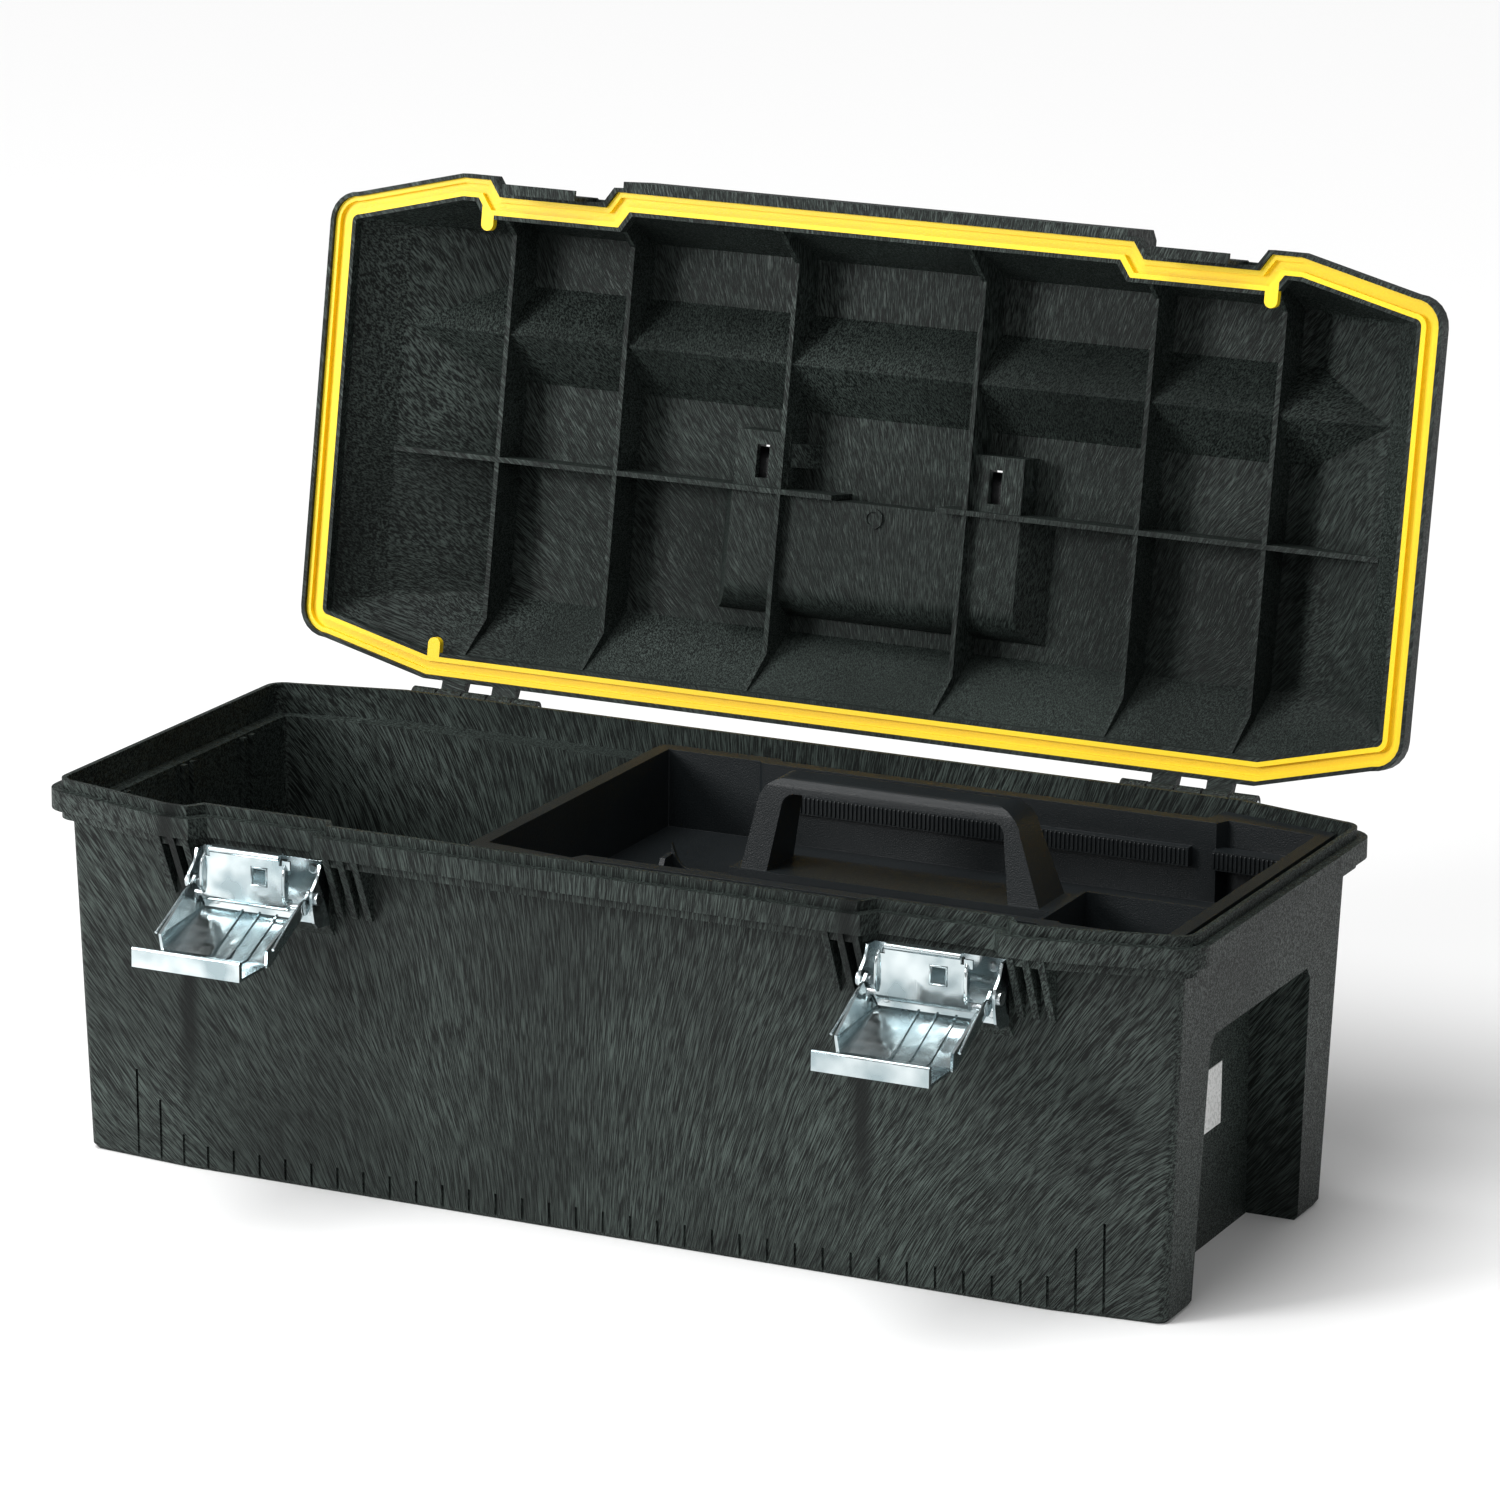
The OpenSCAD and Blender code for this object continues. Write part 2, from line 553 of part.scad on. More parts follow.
module latch_base() color("silver") difference() {
    union() {
        block(-ear_half, ear_half, base_y - steel - 0.2, base_y, pivot_z - 19, pivot_z + 18);
        both_sides() along_x(ear_half - steel, ear_half, [[base_y, pivot_z - 19], [pivot_y + 2, pivot_z - 18],
            [pivot_y - 2.5, pivot_z - 14], [pivot_y - 4.5, pivot_z - 6], [pivot_y - 5.5, pivot_z + 1],
            [pivot_y - 4, pivot_z + 6], [pivot_y + 2, pivot_z + 11], [pivot_y + 5, pivot_z + 18],
            [base_y, pivot_z + 18]]);
    }
    bar(-ear_half - 1, ear_half + 1, pivot_y, pivot_z, latch_pin_r + pin_fit);
    block(4, 14.5, base_y - steel - 1, base_y + 1, hook_z - 17.5, hook_z - 7);
    rivet_holes();
}

// The two short rivets that the lever turns on, one through each ear
module latch_pin() color("silver") both_sides() {
    bar(arm_out - steel - 0.4, ear_half + 0.5, pivot_y, pivot_z, latch_pin_r);
    bar(ear_half + 0.1, ear_half + 2, pivot_y, pivot_z, latch_pin_r + 2);
    bar(arm_out - steel - 1.2, arm_out - steel - 0.1, pivot_y, pivot_z, latch_pin_r + 0.8);
}

module latch_rivets() color("silver") each_latch() for (x = [-31, 31], z = [pivot_z - 13, pivot_z + 13])
    translate([x, 0, z]) rotate([90, 0, 0]) {
        translate([0, 0, -base_y - 3.8]) cylinder(r = 1.6, h = 6);
        translate([0, 0, -base_y + steel + 0.2]) cylinder(r1 = 3, r2 = 2, h = 1.2);
    }

// A bent strip of the lever's pan, from half-width w0 at one end to w1 at the other
module pan_strip(y0, z0, w0, y1, z1, w1) hull() {
    block(-w0, w0, y0 - eps, y0 + eps, z0 - steel / 2, z0 + steel / 2);
    block(-w1, w1, y1 - eps, y1 + eps, z1 - steel / 2, z1 + steel / 2);
}

// A sloping side of the pan, from the arm out to the finger bar
module pan_side(root_y, root_z, heel_y, heel_z) hull() {
    block(27.5, 27.5 + steel, root_y - 1, root_y + 1, root_z - steel / 2, root_z + 1);
    block(arm_out - steel, arm_out, pivot_y - 8, pivot_y - latch_pin_r - 1, pivot_z - 5, pivot_z + 0.5);
    block(bar_half - 1, bar_half - 1 + steel, heel_y - 3, heel_y, heel_z + 9, heel_z + 10);
    block(bar_half - 2, bar_half - 2 + steel, heel_y - 2, heel_y + 2, heel_z - steel / 2, heel_z + 1);
}

module latch_lever() color("silver") {
    root_y = pivot_y - 7.1;
    root_z = pivot_z - 12;
    heel_y = pivot_y - lever_len + 32;
    heel_z = pivot_z - 28.5;
    bar_y = pivot_y - lever_len;
    difference() {
        union() {
            pan_strip(root_y, root_z, 28.5, heel_y, heel_z, bar_half - 1);
            pan_strip(heel_y, heel_z, bar_half - 1, bar_y, heel_z, bar_half);
            both_sides() pan_side(root_y, root_z, heel_y, heel_z);
            both_sides() {
                bar(arm_out - steel, arm_out, pivot_y, pivot_z, 5);
                bar(arm_out - steel, arm_out, crank_y, crank_z, 4.6);
                along_x(arm_out - steel, arm_out, [[pivot_y - 1, pivot_z + 4.9], [crank_y - 4, crank_z + 2],
                    [crank_y - 2, crank_z - 4.4], [pivot_y + 2, pivot_z - 4.5]]);
            }
            block(-bar_half, bar_half, bar_y - 1.6, bar_y + 1.6, heel_z - steel / 2, heel_z + 9);
            bar(-bar_half, bar_half, bar_y, heel_z + 9, 1.6);
        }
        bar(-ear_half, ear_half, pivot_y, pivot_z, latch_pin_r + pin_fit);
        bar(-ear_half, ear_half, crank_y, crank_z, link_pin_r + pin_fit);
    }
    for (x = [-3, 8, 19]) along_x(x - 0.6, x + 0.6, [[root_y, root_z], [heel_y, heel_z],
        [bar_y + 4, heel_z], [bar_y + 4, heel_z + steel / 2 + 0.2], [heel_y, heel_z + steel / 2 + 1],
        [root_y, root_z + steel / 2 + 1]]);
}

module link_pin() color("silver") bar(-arm_out + 0.05, arm_out - 0.05, crank_y, crank_z, link_pin_r);

// The draw plate: a barrel on its pin, bent sides, and a hook that turns in over the lid's tongue
module latch_link() color("silver") {
    difference() {
        union() {
            bar(-27, 27, crank_y, crank_z, 3.5);
            block(-27, 27, link_face, link_face + steel, crank_z, hook_z - 4);
            block(-22, 22, link_face, link_face + steel, hook_z - 5, hook_z + steel);
            block(24, 29, link_face, link_face + steel, hook_z - 6, hook_z - 1);
            both_sides() along_x(27 - steel, 27, [[link_face + steel, crank_z],
                [link_face - 2.4, crank_z + 4],
                [link_face - 2.4, hook_z - 8], [link_face + steel, hook_z - 4]]);
            block(-22, 22, link_face, link_face + hook_reach, hook_z, hook_z + steel);
            bar(-22, 22, link_face + 0.6, hook_z + steel - 1.6, 1.8);
        }
        bar(-ear_half, ear_half, crank_y, crank_z, link_pin_r + pin_fit);
        block(5, 13.5, link_face - 1, link_face + steel + 1, hook_z - 16.5, hook_z - 7.5);
    }
}

box_body();
end_label();
lid_shell();
lid_seal();
mirror([1, 0, 0]) hinge_pin();  // hinge_pin_left
hinge_pin();  // hinge_pin_right
carry_handle();
handle_grip();
mirror([1, 0, 0]) handle_pin();  // handle_pin_left
handle_pin();  // handle_pin_right
tote_tray();
translate([-latch_x, 0, 0]) latch_base();  // latch_base_left
translate([latch_x, 0, 0]) latch_base();  // latch_base_right
latch_rivets();
translate([-latch_x, 0, 0]) latch_lever();  // latch_lever_left
translate([latch_x, 0, 0]) latch_lever();  // latch_lever_right
translate([-latch_x, 0, 0]) latch_pin();  // latch_pin_left
translate([latch_x, 0, 0]) latch_pin();  // latch_pin_right
translate([-latch_x, 0, 0]) latch_link();  // latch_link_left
translate([latch_x, 0, 0]) latch_link();  // latch_link_right
translate([-latch_x, 0, 0]) link_pin();  // link_pin_left
translate([latch_x, 0, 0]) link_pin();  // link_pin_right
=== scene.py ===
import json
import math

import bpy
from mathutils import Matrix, Vector


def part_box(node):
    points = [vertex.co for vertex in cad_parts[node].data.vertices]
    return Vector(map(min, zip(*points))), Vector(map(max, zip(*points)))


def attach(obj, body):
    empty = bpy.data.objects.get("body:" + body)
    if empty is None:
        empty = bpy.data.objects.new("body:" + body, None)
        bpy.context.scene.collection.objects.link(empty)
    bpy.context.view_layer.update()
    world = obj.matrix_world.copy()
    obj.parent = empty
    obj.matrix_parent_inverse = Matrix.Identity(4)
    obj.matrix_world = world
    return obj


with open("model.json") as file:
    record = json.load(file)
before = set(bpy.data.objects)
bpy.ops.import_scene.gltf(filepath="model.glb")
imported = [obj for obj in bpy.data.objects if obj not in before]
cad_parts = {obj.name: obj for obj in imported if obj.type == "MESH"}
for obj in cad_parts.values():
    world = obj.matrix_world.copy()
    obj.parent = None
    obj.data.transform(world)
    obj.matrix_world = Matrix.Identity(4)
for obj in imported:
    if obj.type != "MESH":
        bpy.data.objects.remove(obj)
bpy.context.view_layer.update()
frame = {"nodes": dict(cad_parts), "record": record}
nodes = frame["nodes"]
print("frame loaded:", len(nodes), "nodes")


cameraSettings = {
    "lens": 163.09,  # mm on a 36 mm sensor
    "distance": 3.8086,
    "target": (0.0276, 0.0024, 0.2538),
    "turn": 25.30,  # degrees round from the front
    "rise": 14.87,
    "roll": 0.61,
}


def makeCamera(s):
    turn, rise, roll = (math.radians(s[k]) for k in ("turn", "rise", "roll"))
    back = Vector((math.sin(turn) * math.cos(rise), -math.cos(turn) * math.cos(rise), math.sin(rise)))
    right = Vector((0, 0, 1)).cross(back).normalized()
    up = back.cross(right)
    tiltedRight = math.cos(roll) * right + math.sin(roll) * up
    tiltedUp = math.cos(roll) * up - math.sin(roll) * right
    data = bpy.data.cameras.new("camera")
    data.lens = s["lens"]
    data.sensor_width = 36
    data.clip_end = 50
    camera = bpy.data.objects.new("camera", data)
    place = Matrix((tiltedRight, tiltedUp, back)).transposed().to_4x4()
    place.translation = Vector(s["target"]) + back * s["distance"]
    camera.matrix_world = place
    bpy.context.scene.collection.objects.link(camera)
    bpy.context.scene.camera = camera


makeCamera(cameraSettings)
print("camera placed")


def addNode(tree, kind, **values):
    node = tree.nodes.new(kind)
    for key, value in values.items():
        setattr(node, key, value)
    return node


def link(tree, source, target):
    tree.links.new(source, target)


# a math node whose inputs are either numbers or other nodes' outputs
def calc(tree, operation, *inputs):
    node = addNode(tree, "ShaderNodeMath", operation=operation)
    for socket, value in zip(node.inputs, inputs):
        if isinstance(value, (int, float)):
            socket.default_value = value
        else:
            link(tree, value, socket)
    return node.outputs[0]


# spreads a value from one range over another, clamped
def spread(tree, value, low, high, toLow=0.0, toHigh=1.0):
    node = addNode(tree, "ShaderNodeMapRange", clamp=True)
    link(tree, value, node.inputs["Value"])
    for name, number in (("From Min", low), ("From Max", high), ("To Min", toLow), ("To Max", toHigh)):
        if isinstance(number, (int, float)):
            node.inputs[name].default_value = number
        else:
            link(tree, number, node.inputs[name])
    return node.outputs["Result"]


def noise(tree, vector, scale, detail=2.0, roughness=0.5):
    node = addNode(tree, "ShaderNodeTexNoise")
    link(tree, vector, node.inputs["Vector"])
    if isinstance(scale, (int, float)):
        node.inputs["Scale"].default_value = scale
    else:
        link(tree, scale, node.inputs["Scale"])
    node.inputs["Detail"].default_value = detail
    node.inputs["Roughness"].default_value = roughness
    return node.outputs["Fac"]


def joinXyz(tree, x, y, z):
    node = addNode(tree, "ShaderNodeCombineXYZ")
    for socket, value in zip(node.inputs, (x, y, z)):
        if isinstance(value, (int, float)):
            socket.default_value = value
        else:
            link(tree, value, socket)
    return node.outputs[0]


def splitXyz(tree, vector):
    node = addNode(tree, "ShaderNodeSeparateXYZ")
    link(tree, vector, node.inputs[0])
    return node.outputs


# starts a node group with named inputs and outputs
def newGroup(name, inputs, outputs):
    tree = bpy.data.node_groups.new(name, "ShaderNodeTree")
    for socketName, kind, value in inputs:
        socket = tree.interface.new_socket(name=socketName, in_out="INPUT", socket_type=kind)
        if value is not None:
            socket.default_value = value
    for socketName, kind in outputs:
        tree.interface.new_socket(name=socketName, in_out="OUTPUT", socket_type=kind)
    return tree, addNode(tree, "NodeGroupInput").outputs, addNode(tree, "NodeGroupOutput").inputs


# Hair-fine flow lines that fan out from the gates of a foam moulding, with swirls.
def makeFlowLines():
    tree, given, result = newGroup(
        "flow lines",
        [("Vector", "NodeSocketVector", None), ("Across", "NodeSocketFloat", 300.0),
         ("Along", "NodeSocketFloat", 20.0), ("Fan Height", "NodeSocketFloat", 0.35),
         ("Fan Side", "NodeSocketFloat", 0.0), ("Swirl", "NodeSocketFloat", 0.06)],
        [("Lines", "NodeSocketFloat"), ("Clouds", "NodeSocketFloat")])
    x, y, z = splitXyz(tree, given["Vector"])
    drift = noise(tree, given["Vector"], 4.5, 1.0)
    drift2 = noise(tree, joinXyz(tree, calc(tree, "ADD", x, 7.3), y, z), 9.0, 1.0)
    swirl = calc(tree, "MULTIPLY", calc(tree, "SUBTRACT", drift, 0.5), given["Swirl"])
    swirl2 = calc(tree, "MULTIPLY", calc(tree, "SUBTRACT", drift2, 0.5), given["Swirl"])
    sideways = calc(tree, "ADD", calc(tree, "SUBTRACT", x, given["Fan Side"]), swirl)
    upward = calc(tree, "ADD", calc(tree, "ADD", z, given["Fan Height"]), swirl2)
    angle = calc(tree, "ARCTAN2", sideways, upward)
    reach = calc(tree, "SQRT", calc(tree, "ADD", calc(tree, "MULTIPLY", sideways, sideways),
                                    calc(tree, "MULTIPLY", upward, upward)))
    spun = joinXyz(tree, calc(tree, "MULTIPLY", angle, given["Across"]),
                   calc(tree, "MULTIPLY", y, given["Across"]),
                   calc(tree, "MULTIPLY", reach, given["Along"]))
    fine = noise(tree, spun, 1.0, 2.0, 0.6)
    coarse = noise(tree, spun, 0.55, 1.0)
    mixed = calc(tree, "ADD", calc(tree, "MULTIPLY", fine, 0.62), calc(tree, "MULTIPLY", coarse, 0.38))
    link(tree, spread(tree, mixed, 0.45, 0.60), result["Lines"])
    link(tree, spread(tree, noise(tree, given["Vector"], 7.0, 3.0), 0.35, 0.65), result["Clouds"])
    return tree


# Fine even tooth of a spark-eroded or rubbery surface.
def makeFineGrain():
    tree, given, result = newGroup(
        "fine grain",
        [("Vector", "NodeSocketVector", None), ("Scale", "NodeSocketFloat", 900.0)],
        [("Grain", "NodeSocketFloat"), ("Mottle", "NodeSocketFloat")])
    grain = noise(tree, given["Vector"], given["Scale"], 2.0, 0.65)
    mottle = noise(tree, given["Vector"], 14.0, 3.0)
    link(tree, spread(tree, grain, 0.3, 0.7), result["Grain"])
    link(tree, spread(tree, mottle, 0.3, 0.7), result["Mottle"])
    return tree


# Soft patches and faint drawing lines of plated sheet steel.
def makePlating():
    tree, given, result = newGroup(
        "plating",
        [("Vector", "NodeSocketVector", None), ("Patch", "NodeSocketFloat", 60.0)],
        [("Patches", "NodeSocketFloat"), ("Brush", "NodeSocketFloat")])
    x, y, z = splitXyz(tree, given["Vector"])
    patches = noise(tree, given["Vector"], given["Patch"], 2.0, 0.55)
    drawn = joinXyz(tree, calc(tree, "MULTIPLY", x, 1600), calc(tree, "MULTIPLY", y, 60),
                    calc(tree, "MULTIPLY", z, 60))
    link(tree, spread(tree, patches, 0.35, 0.65), result["Patches"])
    link(tree, noise(tree, drawn, 1.0, 2.0), result["Brush"])
    return tree


flowLines = makeFlowLines()
fineGrain = makeFineGrain()
plating = makePlating()
print("shared effects ready")


def startMaterial(name, **constants):
    material = bpy.data.materials.new(name)
    material.use_nodes = True
    tree = material.node_tree
    shader = tree.nodes["Principled BSDF"]
    for socketName, value in constants.items():
        shader.inputs[socketName.replace("_", " ")].default_value = value
    place = addNode(tree, "ShaderNodeTexCoord").outputs["Object"]
    return material, tree, shader, place


def useGroup(tree, group, place, **values):
    node = addNode(tree, "ShaderNodeGroup")
    node.node_tree = group
    link(tree, place, node.inputs["Vector"])
    for socketName, value in values.items():
        node.inputs[socketName.replace("_", " ")].default_value = value
    return node.outputs


# blends two colours, through the sockets of the mix node that carry colour
def mixColors(tree, amount, low, high):
    node = addNode(tree, "ShaderNodeMix", data_type="RGBA")
    lowSocket, highSocket = [socket for socket in node.inputs if socket.type == "RGBA"]
    link(tree, amount, node.inputs[0])
    lowSocket.default_value = (*low, 1)
    highSocket.default_value = (*high, 1)
    return next(socket for socket in node.outputs if socket.type == "RGBA")


def addBump(tree, shader, height, distance, strength=1.0):
    bump = addNode(tree, "ShaderNodeBump")
    bump.inputs["Strength"].default_value = strength
    bump.inputs["Distance"].default_value = distance
    link(tree, height, bump.inputs["Height"])
    link(tree, bump.outputs["Normal"], shader.inputs["Normal"])


foamSettings = {
    # the pale streak colour is partly the foam's own tone and partly painted sheen, the highlight its fine
    # relief catches
    "dark": (0.0035, 0.0050, 0.0046),
    "light": (0.064, 0.083, 0.075),
    "across": 980.0,
    "along": 95.0,
    "latchShadowSides": (-0.2618, 0.1574),  # painted shadow: a dark strip cast down the front wall below each latch
    "latchShadowWidth": 0.0085,
    "latchShadowHeights": (0.030, 0.080),
    "latchShadowStrength": 0.92,
    "specular": 0.16,
    "grain": 1100.0,
    "bump": 0.00025,
}
bodyFoamSettings = {"fanHeight": 0.26, "fanSide": 0.0, "swirl": 0.045, "latchShadows": True}
lidFoamSettings = {"fanHeight": -0.06, "fanSide": 0.05, "swirl": 0.07, "latchShadows": False}


def foamMaterial(name, s, own):
    material, tree, shader, place = startMaterial(name, Specular_IOR_Level=s["specular"])
    lines = useGroup(tree, flowLines, place, Across=s["across"], Along=s["along"],
                     Fan_Height=own["fanHeight"], Fan_Side=own["fanSide"], Swirl=own["swirl"])
    tooth = useGroup(tree, fineGrain, place, Scale=s["grain"])
    strength = spread(tree, lines["Clouds"], 0, 1, 0.45, 0.95)
    amount = calc(tree, "MULTIPLY", lines["Lines"], strength)
    # painted shadow: darkens the foam in a narrow strip below each latch, where shade falls down the front
    # wall
    if own["latchShadows"]:
        x, y, z = splitXyz(tree, place)
        low, high = s["latchShadowHeights"]
        for side in s["latchShadowSides"]:
            offset = calc(tree, "ABSOLUTE", calc(tree, "SUBTRACT", x, side))
            shadowStrip = spread(tree, offset, 0.25 * s["latchShadowWidth"], s["latchShadowWidth"], s["latchShadowStrength"], 0)
            fade = calc(tree, "MULTIPLY", spread(tree, z, low, high), spread(tree, y, -0.10, -0.12))
            amount = calc(tree, "MULTIPLY", amount,
                          calc(tree, "SUBTRACT", 1.0, calc(tree, "MULTIPLY", shadowStrip, fade)))
    # pale streaks: own tone of the flow lines plus painted sheen
    link(tree, mixColors(tree, amount, s["dark"], s["light"]), shader.inputs["Base Color"])
    link(tree, spread(tree, lines["Lines"], 0, 1, 0.55, 0.40), shader.inputs["Roughness"])
    height = calc(tree, "ADD", lines["Lines"], calc(tree, "MULTIPLY", tooth["Grain"], 0.4))
    addBump(tree, shader, height, s["bump"], 0.7)
    return material


def smoothPlastic(name, s):
    material, tree, shader, place = startMaterial(name, Specular_IOR_Level=s["specular"])
    grain = useGroup(tree, fineGrain, place, Scale=s["grain"])
    tone = calc(tree, "ADD", calc(tree, "MULTIPLY", grain["Mottle"], 0.6),
                calc(tree, "MULTIPLY", grain["Grain"], 0.4))
    link(tree, mixColors(tree, tone, s["low"], s["high"]), shader.inputs["Base Color"])
    link(tree, spread(tree, grain["Grain"], 0, 1, *s["rough"]), shader.inputs["Roughness"])
    addBump(tree, shader, grain["Grain"], s["bump"], 0.8)
    return material


def steelMaterial(name, s):
    material, tree, shader, place = startMaterial(name, Metallic=1.0)
    zinc = useGroup(tree, plating, place, Patch=s["patch"])
    link(tree, mixColors(tree, zinc["Patches"], s["low"], s["high"]), shader.inputs["Base Color"])
    link(tree, spread(tree, zinc["Patches"], 0, 1, *s["rough"]), shader.inputs["Roughness"])
    height = calc(tree, "ADD", zinc["Patches"], calc(tree, "MULTIPLY", zinc["Brush"], 0.05))
    addBump(tree, shader, height, s["bump"], 0.5)
    return material


plasticSettings = {  # one moulded or rubber finish per slot
    "tray_plastic": {"low": (0.0050, 0.0068, 0.0078), "high": (0.0095, 0.0125, 0.0140),
                     "rough": (0.36, 0.50), "grain": 1300.0, "bump": 0.00012, "specular": 0.30},
    "handle_plastic": {"low": (0.007, 0.008, 0.0085), "high": (0.012, 0.013, 0.014),
                       "rough": (0.38, 0.52), "grain": 1000.0, "bump": 0.00012, "specular": 0.30},
    "seal_rubber": {"low": (0.84, 0.56, 0.004), "high": (0.94, 0.67, 0.006),
                    "rough": (0.38, 0.50), "grain": 700.0, "bump": 0.00005, "specular": 0.4},
    "grip_rubber": {"low": (0.007, 0.0075, 0.008), "high": (0.013, 0.014, 0.0145),
                    "rough": (0.62, 0.80), "grain": 800.0, "bump": 0.00020, "specular": 0.5},
    "label_film": {"low": (0.72, 0.73, 0.72), "high": (0.82, 0.83, 0.82),
                   "rough": (0.22, 0.34), "grain": 500.0, "bump": 0.00004, "specular": 0.5},
}
steelSettings = {  # rougher where the plating is thin
    "plated_steel": {"low": (0.30, 0.37, 0.39), "high": (0.60, 0.66, 0.67),
                     "rough": (0.28, 0.12), "patch": 45.0, "bump": 0.0004},
    "pin_steel": {"low": (0.42, 0.47, 0.49), "high": (0.60, 0.64, 0.65),
                  "rough": (0.34, 0.20), "patch": 120.0, "bump": 0.0004},
}

bodyFoam = foamMaterial("box foam", foamSettings, bodyFoamSettings)
lidFoam = foamMaterial("lid foam", foamSettings, lidFoamSettings)
slotMaterials = {}
for slotName, settings in plasticSettings.items():
    slotMaterials[slotName] = smoothPlastic(slotName.replace("_", " "), settings)
for slotName, settings in steelSettings.items():
    slotMaterials[slotName] = steelMaterial(slotName.replace("_", " "), settings)
print("materials ready")


edgeSettings = {  # radius of each node's softened edges, in metres
    "box_body": 0.0009, "lid_shell": 0.0008, "tote_tray": 0.0007, "carry_handle": 0.0020,
    "latch_lever_left": 0.0004, "latch_lever_right": 0.0004, "latch_link_left": 0.0005,
    "latch_link_right": 0.0005, "latch_base_left": 0.0004, "latch_base_right": 0.0004,
    "lid_seal": 0.0009,
}


def softenEdges(obj, radius):
    weld = obj.modifiers.new("weld", "WELD")
    weld.merge_threshold = 0.00001
    bevel = obj.modifiers.new("soft edges", "BEVEL")
    bevel.width = radius
    bevel.segments = 2
    bevel.limit_method = "ANGLE"
    bevel.angle_limit = math.radians(32)
    bevel.use_clamp_overlap = True
    bevel.harden_normals = False
    normals = obj.modifiers.new("normals", "WEIGHTED_NORMAL")
    normals.keep_sharp = False
    normals.weight = 80


def finishNode(obj, material):
    if not obj.data.materials:
        obj.data.materials.append(material)
    for slot in obj.material_slots:
        slot.material = material


slotOf = {part["node"]: part["material_slot"] for part in frame["record"]["subparts"]}
for name, obj in nodes.items():
    if name == "box_body":
        finishNode(obj, bodyFoam)
    elif name == "lid_shell":
        finishNode(obj, lidFoam)
    else:
        finishNode(obj, slotMaterials[slotOf[name]])
    if name in edgeSettings:
        softenEdges(obj, edgeSettings[name])
print("nodes finished")


def addMesh(name, points, faces, material, body):
    mesh = bpy.data.meshes.new(name)
    mesh.from_pydata(points, [], faces)
    mesh.materials.append(material)
    obj = bpy.data.objects.new(name, mesh)
    bpy.context.scene.collection.objects.link(obj)
    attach(obj, body)
    return obj


# round wire-like edges, one polyline each, rolled from the same sheet
def rolledEdges(name, lines, radius, material, body):
    curve = bpy.data.curves.new(name, "CURVE")
    curve.dimensions = "3D"
    curve.bevel_depth = radius
    curve.bevel_resolution = 3
    curve.use_fill_caps = True
    for points in lines:
        spline = curve.splines.new("POLY")
        spline.points.add(len(points) - 1)
        for point, place in zip(spline.points, points):
            point.co = (*place, 1)
    curve.materials.append(material)
    obj = bpy.data.objects.new(name, curve)
    bpy.context.scene.collection.objects.link(obj)
    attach(obj, body)
    return obj


# a smooth line through a few places, for bent edges
def bentLine(places, steps=5):
    line = [Vector(p) for p in places]
    ends = [2 * line[0] - line[1]] + line + [2 * line[-1] - line[-2]]
    result = []
    for i in range(1, len(ends) - 2):
        a, b, c, d = ends[i - 1:i + 3]
        for k in range(steps):
            t = k / steps
            result.append(0.5 * (2 * b + (c - a) * t + (2 * a - 5 * b + 4 * c - d) * t * t
                                 + (3 * b - a - 3 * c + d) * t ** 3))
    return result + [line[-1]]


rackSettings = {  # upright ribs on the tray's long holding strips
    "spans": ((-0.0045, 0.2505), (0.2675, 0.3245)),
    "pitch": 0.0027,
    "width": 0.0012,
    "depth": 0.0009,
    "face": 0.1055,
    "heights": (0.1900, 0.1996),
}


def makeRackRibs(s):
    points, faces = [], []
    half, (low, high) = s["width"] / 2, s["heights"]
    for start, end in s["spans"]:
        for i in range(int((end - start) / s["pitch"]) + 1):
            x = start + i * s["pitch"]
            first = len(points)
            for z, sink in ((low, 0.0003), (low + 0.0006, 0), (high - 0.0006, 0), (high, 0.0003)):
                deep = s["face"] - s["depth"] + sink
                points += [(x - half, s["face"] + 0.0002, z), (x - half * 0.6, deep, z),
                           (x + half * 0.6, deep, z), (x + half, s["face"] + 0.0002, z)]
            for row in range(3):
                a = first + 4 * row
                faces += [(a + k, a + k + 1, a + k + 5, a + k + 4) for k in range(3)]
            faces += [tuple(first + k for k in (3, 2, 1, 0)), tuple(first + 12 + k for k in range(4))]
    return addMesh("rack_ribs", points, faces, slotMaterials["tray_plastic"], "tray")


latchSettings = {  # rolled sheet edges, as offsets from each latch's middle
    "middle": 0.2065,
    "earRoll": ((0.0256, -0.1580, 0.2000), (0.0260, -0.1606, 0.1960), (0.0262, -0.1614, 0.1885),
                (0.0261, -0.1610, 0.1815), (0.0258, -0.1586, 0.1780)),
    "earRadius": 0.0010,
    "windowRim": ((0.0043, 0.1859), (0.0142, 0.1859), (0.0142, 0.1963), (0.0043, 0.1963), (0.0043, 0.1859)),
    "windowFace": -0.1590,
    "windowRadius": 0.0006,
    "panRoll": ((0.0362, -0.1535, 0.1803), (0.0362, -0.1610, 0.1785), (0.0366, -0.1780, 0.1695),
                (0.0372, -0.1931, 0.1614)),
    "panRadius": 0.0009,
}


def makeLatchEdges(s, side, name):
    steel, x0 = slotMaterials["plated_steel"], side * s["middle"]
    ears = [[(x0 + flip * x, y, z) for x, y, z in bentLine(s["earRoll"])] for flip in (-1, 1)]
    rolledEdges("link_rolls_" + name, ears, s["earRadius"], steel, "link_" + name)
    rim = [[(x0 + x, s["windowFace"], z) for x, z in s["windowRim"]]]
    rolledEdges("link_window_" + name, rim, s["windowRadius"], steel, "link_" + name)
    pan = [[(x0 + flip * x, y, z) for x, y, z in bentLine(s["panRoll"])] for flip in (-1, 1)]
    rolledEdges("pan_rolls_" + name, pan, s["panRadius"], steel, "lever_" + name)


gripSettings = {  # shallow rings round the carry handle's grip
    "radius": 0.0091,
    "wire": 0.0006,
    "places": [i * 0.0105 for i in range(-5, 6)],
}


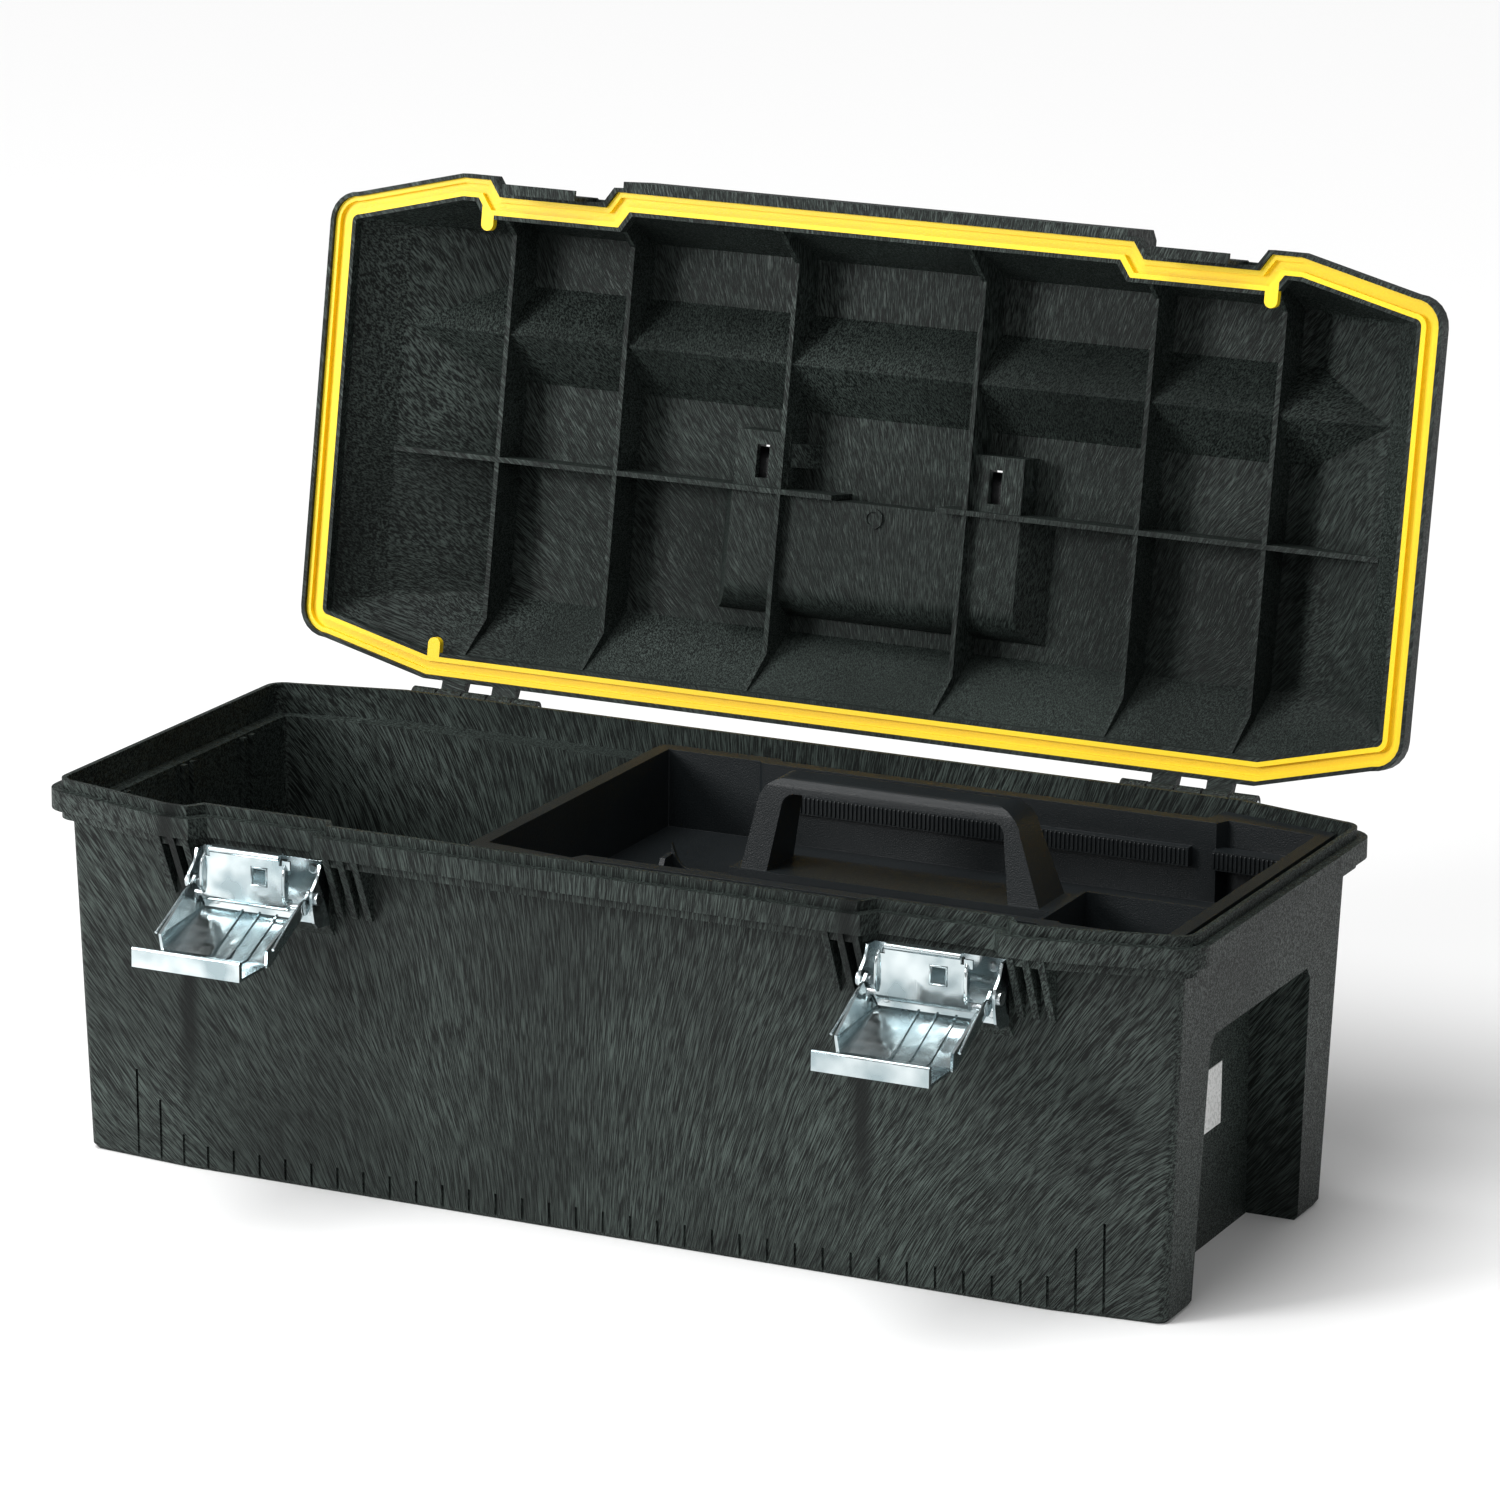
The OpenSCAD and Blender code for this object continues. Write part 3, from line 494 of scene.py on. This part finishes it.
def makeGripRings(s):
    low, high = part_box("handle_grip")
    y, z = (low[1] + high[1]) / 2, (low[2] + high[2]) / 2
    sides = 24
    angles = [math.tau * k / sides for k in range(sides + 1)]
    rings = [[(x, y + s["radius"] * math.cos(a), z + s["radius"] * math.sin(a)) for a in angles]
             for x in s["places"]]
    rolledEdges("grip_rings", rings, s["wire"], slotMaterials["grip_rubber"], "handle")


makeRackRibs(rackSettings)
makeGripRings(gripSettings)
for side, name in ((-1, "left"), (1, "right")):
    makeLatchEdges(latchSettings, side, name)
print("small details added")


stageSettings = {"floorSize": 14.0, "floor": (0.88, 0.88, 0.88), "sky": 0.32}


def makeStage(s):
    half = s["floorSize"] / 2
    mesh = bpy.data.meshes.new("floor")
    corners = [(-half, -half, 0), (half, -half, 0), (half, half, 0), (-half, half, 0)]
    mesh.from_pydata(corners, [], [(0, 1, 2, 3)])
    floor = bpy.data.objects.new("floor", mesh)
    bpy.context.scene.collection.objects.link(floor)
    material = bpy.data.materials.new("floor")
    material.use_nodes = True
    shader = material.node_tree.nodes["Principled BSDF"]
    shader.inputs["Base Color"].default_value = (*s["floor"], 1)
    shader.inputs["Roughness"].default_value = 0.7
    mesh.materials.append(material)
    world = bpy.data.worlds.new("studio")
    world.use_nodes = True
    sky = world.node_tree.nodes["Background"]
    sky.inputs["Color"].default_value = (1, 1, 1, 1)
    sky.inputs["Strength"].default_value = s["sky"]
    bpy.context.scene.world = world
    bpy.context.scene.view_settings.view_transform = "Standard"


lampSettings = {  # place, size and power of each soft light, all aimed at the box
    "key": {"place": (-2.1, -2.6, 1.5), "size": 1.2, "power": 105},
    "fill": {"place": (2.9, -1.7, 1.4), "size": 1.2, "power": 12},
}


def makeLamp(name, s):
    data = bpy.data.lights.new(name, "AREA")
    data.energy = s["power"]
    data.size = s["size"]
    lamp = bpy.data.objects.new(name, data)
    lamp.location = s["place"]
    lamp.rotation_euler = (Vector((0, 0, 0.2)) - Vector(s["place"])).to_track_quat("-Z", "Y").to_euler()
    bpy.context.scene.collection.objects.link(lamp)


overheadSettings = {"strength": 2.6, "softness": 40, "turn": (14, -12, 0)}  # softness and turn in degrees


def makeOverhead(s):
    data = bpy.data.lights.new("overhead", "SUN")
    data.energy = s["strength"]
    data.angle = math.radians(s["softness"])
    lamp = bpy.data.objects.new("overhead", data)
    lamp.rotation_euler = [math.radians(v) for v in s["turn"]]
    bpy.context.scene.collection.objects.link(lamp)


makeStage(stageSettings)
makeOverhead(overheadSettings)
for name, settings in lampSettings.items():
    makeLamp(name, settings)
print("stage ready")
